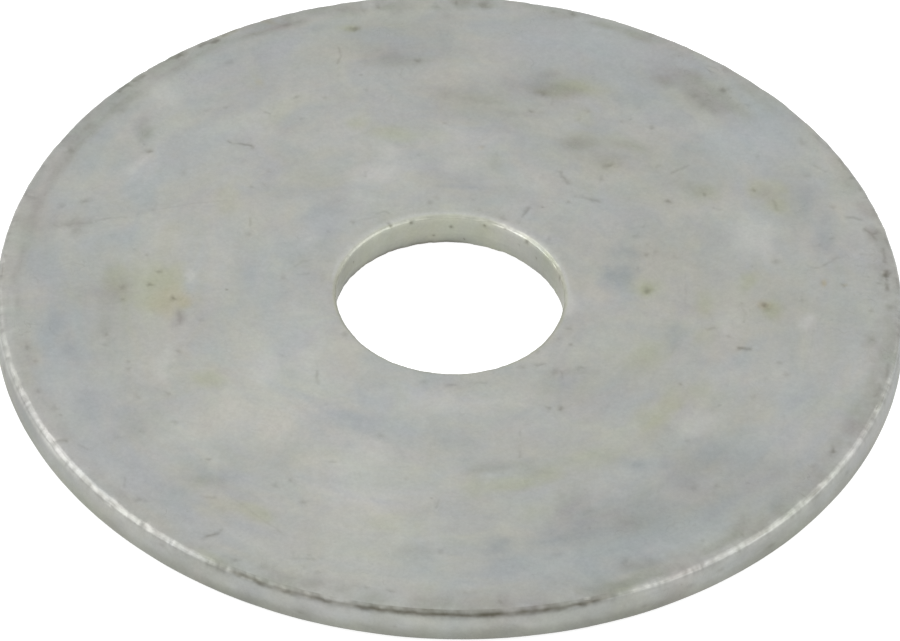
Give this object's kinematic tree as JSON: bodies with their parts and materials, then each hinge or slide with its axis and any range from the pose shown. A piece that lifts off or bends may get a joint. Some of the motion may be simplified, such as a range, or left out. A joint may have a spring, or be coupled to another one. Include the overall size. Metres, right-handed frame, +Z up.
{
  "type": "fender washer",
  "caption": "Wide flat round washer of zinc-plated sheet steel with a small central bore and blanked edges, for spreading a bolt's load.",
  "frame": {"origin": "centre of the lower face, on the bore's axis", "axes": "+Z up along the bore, out of the face that the punch entered; X and Y are alike"},
  "size_m": [0.035, 0.035, 0.0015],
  "materials": {
    "zinc_plate": "clear zinc electroplate on blanked sheet steel, satin, clouded and stained, with fine nicks and pits"
  },
  "bodies": {
    "root": {"washer": "zinc_plate"}
  },
  "joints": []
}
